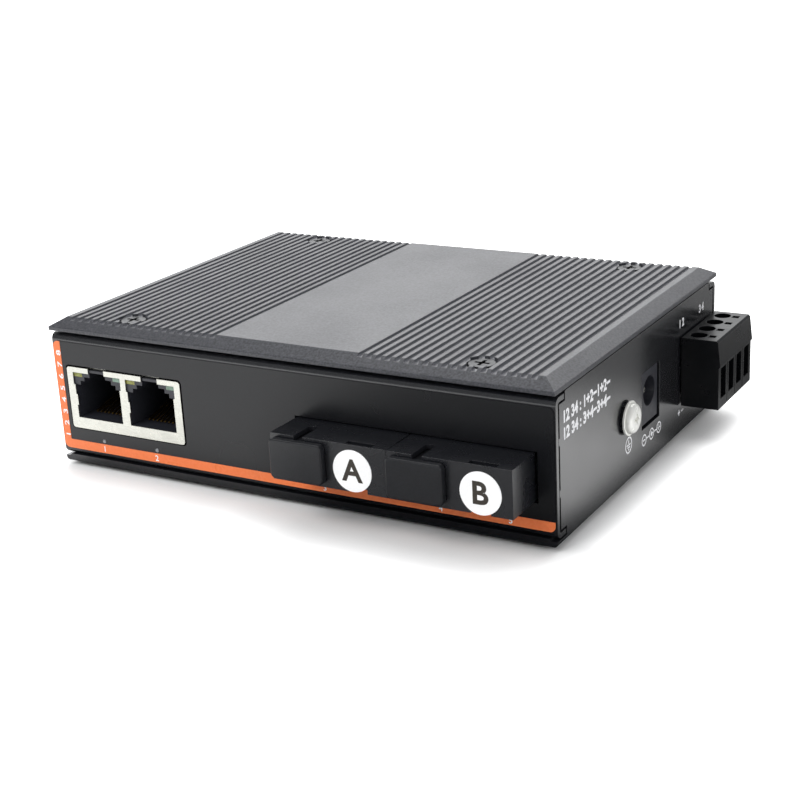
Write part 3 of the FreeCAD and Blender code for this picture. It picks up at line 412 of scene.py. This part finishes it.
# The screw's shank is drawn down from its head, a ridge and a root for each turn of the thread.
screw = pressedDisc("earth_screw", earthParts["head"], earthParts["facets"])
pickFaces(screw, lambda face: face.normal.z < -squareOn)
bpy.ops.mesh.inset(thickness=(earthParts["head"]["radius"] - earthParts["shank"]) * mm)
turns = int((earthParts["head"]["from"] - screwTip / mm) / earthParts["pitch"])
halfTurn = (0, 0, -earthParts["pitch"] / 2 * mm)
for turn in range(turns):
    for grow in (earthParts["root"], 1 / earthParts["root"]):
        bpy.ops.mesh.extrude_region_move(TRANSFORM_OT_translate={"value": halfTurn})
        bpy.ops.transform.resize(value=(grow, grow, 1))
bpy.ops.object.mode_set(mode="OBJECT")
wide, narrow, deep = earthParts["recess"]
for angle in (0, 90):
    # one slot of the cross: a bar that narrows downwards, cut out of the head
    bpy.ops.object.select_all(action="DESELECT")
    bpy.ops.mesh.primitive_cube_add(size=1, location=(0, 0, earthParts["head"]["thick"] / 2 * mm))
    bar = bpy.context.object
    bpy.ops.object.mode_set(mode="EDIT")
    bpy.ops.transform.resize(value=(wide * mm, narrow * mm, 2 * deep * mm))
    pickFaces(bar, lambda face: face.normal.z < -squareOn)
    bpy.ops.transform.resize(value=(*earthParts["taper"], 1))
    bpy.ops.object.mode_set(mode="OBJECT")
    bar.data.transform(Matrix.Rotation(math.radians(angle), 4, "Z"))
    bar.select_set(False)
    bpy.context.view_layer.objects.active = screw
    screw.select_set(True)
    cut = screw.modifiers.new("recess", "BOOLEAN")
    cut.operation = "DIFFERENCE"
    cut.object = bar
    bpy.ops.object.modifier_apply(modifier=cut.name)
    bpy.data.objects.remove(bar, do_unlink=True)
seatDisc(screw, earthParts["head"], zincPaintedHighlight, "ground_screw", "zinc_steel", "ground_screw")

print("label letters")
labelLetter = {"height": 4.35, "bold": 0.16, "thick": 0.02,
               "places": (("a", 20.75, 12.85), ("b", 47.3, 12.65))}
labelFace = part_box("port_stickers")[0].y
for letter, x, z in labelLetter["places"]:
    spot = Vector((x * mm, labelFace - labelLetter["thick"] / 2 * mm, z * mm))
    printedText("label_letter_" + letter, letter.upper(), spot, faceFront, labelInk, labelLetter)

print("side print")
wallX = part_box("chassis_tray")[1].x
sidePrint = {"height": 2.2, "bold": 0.13, "thick": 0.014, "span": 21.4, "y": -28.15,
             "lines": (("legend_upper", "12 34 : 1+2−1+2−", 24.1),
                       ("legend_lower", "12 34 : 3+4−3+4−", 20.9))}
for name, words, z in sidePrint["lines"]:
    spot = Vector((wallX + sidePrint["thick"] / 2 * mm, sidePrint["y"] * mm, z * mm))
    printedText(name, words, spot, faceRight, whiteInk, sidePrint)

# Protective-earth sign under the earth screw: a ring, a stem and three shrinking bars.
# A ring is its centre, radius and line, or 0 for a full dot. A bar is its centre, width and height.
earthSign = {"y": -8.2, "z": 7.8, "lift": 0.001, "thick": 0.014,
             "rings": ((0, 0, 1.75, 0.34),),
             "bars": ((0, 0.6, 0.34, 1.0), (0, 0.05, 2.0, 0.32), (0, -0.48, 1.3, 0.3),
                      (0, -0.95, 0.65, 0.28))}
# Centre-positive sign under the barrel jack: minus ring, line, ring with a dot, line, plus ring.
poleSign = {"y": 4.2, "z": 5.9, "lift": 0.001, "thick": 0.014,
            "rings": ((-4.1, 0, 1.25, 0.3), (4.1, 0, 1.25, 0.3), (0, 0, 1.25, 0.3), (0, 0, 0.5, 0)),
            "bars": ((-4.1, 0, 1.3, 0.3), (4.1, 0, 1.3, 0.3), (4.1, 0, 0.3, 1.3),
                     (-2.05, 0, 1.7, 0.3), (1.7, 0, 2.4, 0.3))}
for name, sign in (("earth_sign", earthSign), ("pole_sign", poleSign)):
    spot = Vector((wallX + sign["lift"] * mm, sign["y"] * mm, sign["z"] * mm))
    printedSign(name, sign["rings"], sign["bars"], spot, faceRight, whiteInk, sign["thick"])

print("terminal marks")
poleMark = {"height": 1.7, "bold": 0.09, "thick": 0.014,
            "places": (("pole_mark_left", "1 2", 21.5, 24.6),
                       ("pole_mark_right", "3 4", 33.5, 24.6),
                       ("pole_mark_low", "+ −", 21.2, 5.0))}
for name, words, y, z in poleMark["places"]:
    spot = Vector((wallX + poleMark["thick"] / 2 * mm, y * mm, z * mm))
    printedText(name, words, spot, faceRight, whiteInk, poleMark)

print("band digits")
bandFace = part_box("orange_band")[0].y
bandDigit = {"height": 1.25, "bold": 0.03, "thick": 0.012, "z": 4.0,
             "across": (-46.6, -32.7, 8.5, 34.1, 48.6)}
for index, x in enumerate(bandDigit["across"]):
    digit = str(index + 1)
    spot = Vector((x * mm, bandFace - bandDigit["thick"] / 2 * mm, bandDigit["z"] * mm))
    printedText("band_digit_" + digit, digit, spot, faceFront, whiteInk, bandDigit)
# The digits on the strip at the left end run upwards.
stripDigit = {"height": 1.15, "bold": 0.03, "thick": 0.012, "span": 19.0, "x": -56.35, "z": 15.4}
upright = faceFront @ Matrix.Rotation(math.radians(90), 4, "Z")
spot = Vector((stripDigit["x"] * mm, bandFace - stripDigit["thick"] / 2 * mm, stripDigit["z"] * mm))
printedText("strip_digits", "1  2  3  4  5  6  7  8", spot, upright, whiteInk, stripDigit)


print("studio")
# The contact shades and the floor's drop are in millimetres, the other lengths in metres.
studio = {"floorColour": "#e8e8e8", "floorSize": 8, "floorDrop": 1.1,
          "nearGlow": 0.95, "farGlow": 1.0, "glowFrom": 0.13, "glowTo": 0.7,
          "contact": 8.6, "frontContact": 17.0, "sidesFrom": -0.036, "frontFrom": -0.046,
          "coverSamples": 12, "coverPower": 3.5, "mirrorGlow": 0.5, "dimLit": 0.25,
          "dimPlace": (0.06, -0.12, 0), "dimFrom": 0.078, "dimTo": 0.102,
          "rearPlace": (0.115, 0.1, 0), "rearFrom": 0.052, "rearTo": 0.1,
          "fill": 0.32, "air": (0.965, 0.98, 1.0, 1.0),
          "whiteSide": (-0.5, 0.85, 0.15), "whiteFrom": 0.6, "whiteTo": 0.95, "dimSky": 0.2}


def floorPaper():
    # Matt white paper that glows up to white for the camera and, more weakly, in reflections. Close
    # to the object ambient occlusion fades the glow as a painted contact shadow, and two spots
    # beside it are painted darker in reflections.
    material = bpy.data.materials.new("studioPaper")
    material.use_nodes = True
    tree = material.node_tree
    tree.nodes.clear()
    rays = addNode(tree, "ShaderNodeLightPath")
    place = addNode(tree, "ShaderNodeTexCoord").outputs["Object"]
    # the two spots: 0 in their middle, 1 outside them
    fromDim = addNode(tree, "ShaderNodeVectorMath",
                      {"operation": "DISTANCE", 1: studio["dimPlace"]}, {0: place})
    dim = addNode(tree, "ShaderNodeMapRange",
                  {"From Min": studio["dimFrom"], "From Max": studio["dimTo"]},
                  {"Value": fromDim.outputs["Value"]})
    fromRear = addNode(tree, "ShaderNodeVectorMath",
                       {"operation": "DISTANCE", 1: studio["rearPlace"]}, {0: place})
    rear = addNode(tree, "ShaderNodeMapRange",
                   {"From Min": studio["rearFrom"], "From Max": studio["rearTo"]},
                   {"Value": fromRear.outputs["Value"]})
    unshaded = addNode(tree, "ShaderNodeMath", {"operation": "MINIMUM"},
                       {0: dim.outputs["Result"], 1: rear.outputs["Result"]})
    # the painted contact shade: short round the sides, and reaching up to the modules on the port
    # side
    depth = addNode(tree, "ShaderNodeSeparateXYZ", None, {"Vector": place})
    reach = addNode(tree, "ShaderNodeMapRange",
                    {"From Min": studio["sidesFrom"], "From Max": studio["frontFrom"],
                     "To Min": studio["contact"] * mm, "To Max": studio["frontContact"] * mm},
                    {"Value": depth.outputs["Y"]})
    cover = addNode(tree, "ShaderNodeAmbientOcclusion", {"samples": studio["coverSamples"]},
                    {"Distance": reach.outputs["Result"]})
    bare = addNode(tree, "ShaderNodeMath", {"operation": "POWER", 1: studio["coverPower"]},
                   {0: cover.outputs["AO"]})
    # the matt paper, painted darker in reflections where it is covered or in a spot
    lit = addNode(tree, "ShaderNodeMapRange", {"To Min": studio["dimLit"]},
                  {"Value": unshaded.outputs[0]})
    litBare = addNode(tree, "ShaderNodeMath", {"operation": "MULTIPLY"},
                      {0: lit.outputs["Result"], 1: bare.outputs[0]})
    shade = addNode(tree, "ShaderNodeMix", {"data_type": "FLOAT", "A": 1.0},
                    {"Factor": rays.outputs["Is Glossy Ray"], "B": litBare.outputs[0]})
    colour = addNode(tree, "ShaderNodeVectorMath",
                     {"operation": "SCALE", 0: linear(studio["floorColour"])[:3]},
                     {"Scale": shade.outputs[0]})
    matt = addNode(tree, "ShaderNodeBsdfDiffuse", None, {"Color": colour.outputs[0]})
    # the glow, by what looks at the paper and how far from the object
    glint = addNode(tree, "ShaderNodeMath", {"operation": "MULTIPLY", 1: studio["mirrorGlow"]},
                    {0: unshaded.outputs[0]})
    mirrored = addNode(tree, "ShaderNodeMath", {"operation": "MULTIPLY"},
                       {0: rays.outputs["Is Glossy Ray"], 1: glint.outputs[0]})
    seen = addNode(tree, "ShaderNodeMath", {"operation": "MAXIMUM"},
                   {0: rays.outputs["Is Camera Ray"], 1: mirrored.outputs[0]})
    seenAny = addNode(tree, "ShaderNodeMath", {"operation": "MAXIMUM"},
                      {0: seen.outputs[0], 1: rays.outputs["Is Transmission Ray"]})
    away = addNode(tree, "ShaderNodeVectorMath", {"operation": "LENGTH"}, {0: place})
    rise = addNode(tree, "ShaderNodeMapRange",
                   {"From Min": studio["glowFrom"], "From Max": studio["glowTo"],
                    "To Min": studio["nearGlow"], "To Max": studio["farGlow"]},
                   {"Value": away.outputs["Value"]})
    clear = addNode(tree, "ShaderNodeMath", {"operation": "MULTIPLY"},
                    {0: rise.outputs["Result"], 1: bare.outputs[0]})
    amount = addNode(tree, "ShaderNodeMath", {"operation": "MULTIPLY"},
                     {0: seenAny.outputs[0], 1: clear.outputs[0]})
    glow = addNode(tree, "ShaderNodeEmission", None, {"Strength": amount.outputs[0]})
    paper = addNode(tree, "ShaderNodeAddShader", None, {0: matt.outputs[0], 1: glow.outputs[0]})
    addNode(tree, "ShaderNodeOutputMaterial", None, {"Surface": paper.outputs[0]})
    return material


bpy.ops.mesh.primitive_plane_add(size=studio["floorSize"],
                                 location=(0, 0, -studio["floorDrop"] * mm))
floor = bpy.context.object
floor.name = "studio_floor"
bpy.ops.object.transform_apply(location=True, rotation=True, scale=True)
floor.data.materials.append(floorPaper())

world = bpy.data.worlds.new("paleStudio")
bpy.context.scene.world = world
world.use_nodes = True
tree = world.node_tree
tree.nodes.clear()
rays = addNode(tree, "ShaderNodeLightPath")
# The room is white behind the object and dimmer round the other sides, as reflections show it.
outward = addNode(tree, "ShaderNodeTexCoord").outputs["Generated"]
behind = addNode(tree, "ShaderNodeVectorMath", {"operation": "DOT_PRODUCT", 1: studio["whiteSide"]},
                 {0: outward})
room = addNode(tree, "ShaderNodeMapRange",
               {"From Min": studio["whiteFrom"], "From Max": studio["whiteTo"],
                "To Min": studio["dimSky"], "To Max": 1.0},
               {"Value": behind.outputs["Value"]})
glossy = addNode(tree, "ShaderNodeMath", {"operation": "MULTIPLY"},
                 {0: rays.outputs["Is Glossy Ray"], 1: room.outputs["Result"]})
seen = addNode(tree, "ShaderNodeMath", {"operation": "MAXIMUM"},
               {0: rays.outputs["Is Camera Ray"], 1: rays.outputs["Is Transmission Ray"]})
seenAny = addNode(tree, "ShaderNodeMath", {"operation": "MAXIMUM"},
                  {0: seen.outputs[0], 1: glossy.outputs[0]})
strength = addNode(tree, "ShaderNodeMath", {"operation": "MAXIMUM", 1: studio["fill"]},
                   {0: seenAny.outputs[0]})
# Plain white for the camera, a little cooler as light.
air = addNode(tree, "ShaderNodeMix", {"data_type": "RGBA", "A": studio["air"], "B": (1, 1, 1, 1)},
              {"Factor": rays.outputs["Is Camera Ray"]})
sky = addNode(tree, "ShaderNodeBackground", None,
              {"Color": air.outputs["Result"], "Strength": strength.outputs[0]})
addNode(tree, "ShaderNodeOutputWorld", None, {"Surface": sky.outputs[0]})

# Each softbox: place and size in metres, how bright its face is, where 1 is white paper, and
# whether glossy surfaces mirror it.
softboxes = {
    "overhead_softbox": {"place": (-0.3, 0.75, 0.95), "size": (1.2, 1.0), "face": 2.5},
    "backdrop_softbox": {"place": (-0.62, 1.05, 0.53), "size": (1.6, 0.8), "face": 0.65},
    "front_softbox": {"place": (-0.5, -0.9, 0.9), "size": (0.9, 0.7), "face": 6.5,
                      "mirrored": False},
    "side_softbox": {"place": (1.1, -0.35, 0.55), "size": (1.0, 0.7), "face": 2.4,
                     "mirrored": False},
}
for name, box in softboxes.items():
    bpy.ops.object.light_add(type="AREA", location=box["place"])
    lamp = bpy.context.object
    lamp.name = name
    lamp.data.shape = "RECTANGLE"
    lamp.data.size, lamp.data.size_y = box["size"]
    lamp.data.energy = box["face"] * math.pi * box["size"][0] * box["size"][1]
    lamp.visible_glossy = box.get("mirrored", True)
    lamp.rotation_euler = Vector(box["place"]).to_track_quat("Z", "Y").to_euler()

# The camera's place, its lens and its film's width are in millimetres, its turns in degrees.
view = {"place": (165.7, -277.58, 119.82), "azimuth": 30.626, "elevation": 19.241, "roll": -3.047,
        "lens": 70.39, "film": 36, "nearest": 10}
cameraData = bpy.data.cameras.new("productCamera")
cameraData.lens = view["lens"]
cameraData.sensor_width = view["film"]
cameraData.clip_start = view["nearest"] * mm
camera = bpy.data.objects.new("productCamera", cameraData)
bpy.context.scene.collection.objects.link(camera)
aim = Euler((math.radians(90 - view["elevation"]), 0, math.radians(view["azimuth"]))).to_matrix()
aim = aim @ Matrix.Rotation(math.radians(view["roll"]), 3, "Z")
camera.matrix_world = Matrix.Translation(Vector(view["place"]) * mm) @ aim.to_4x4()
bpy.context.scene.camera = camera
bpy.context.scene.view_settings.view_transform = "Standard"

print("sizes")
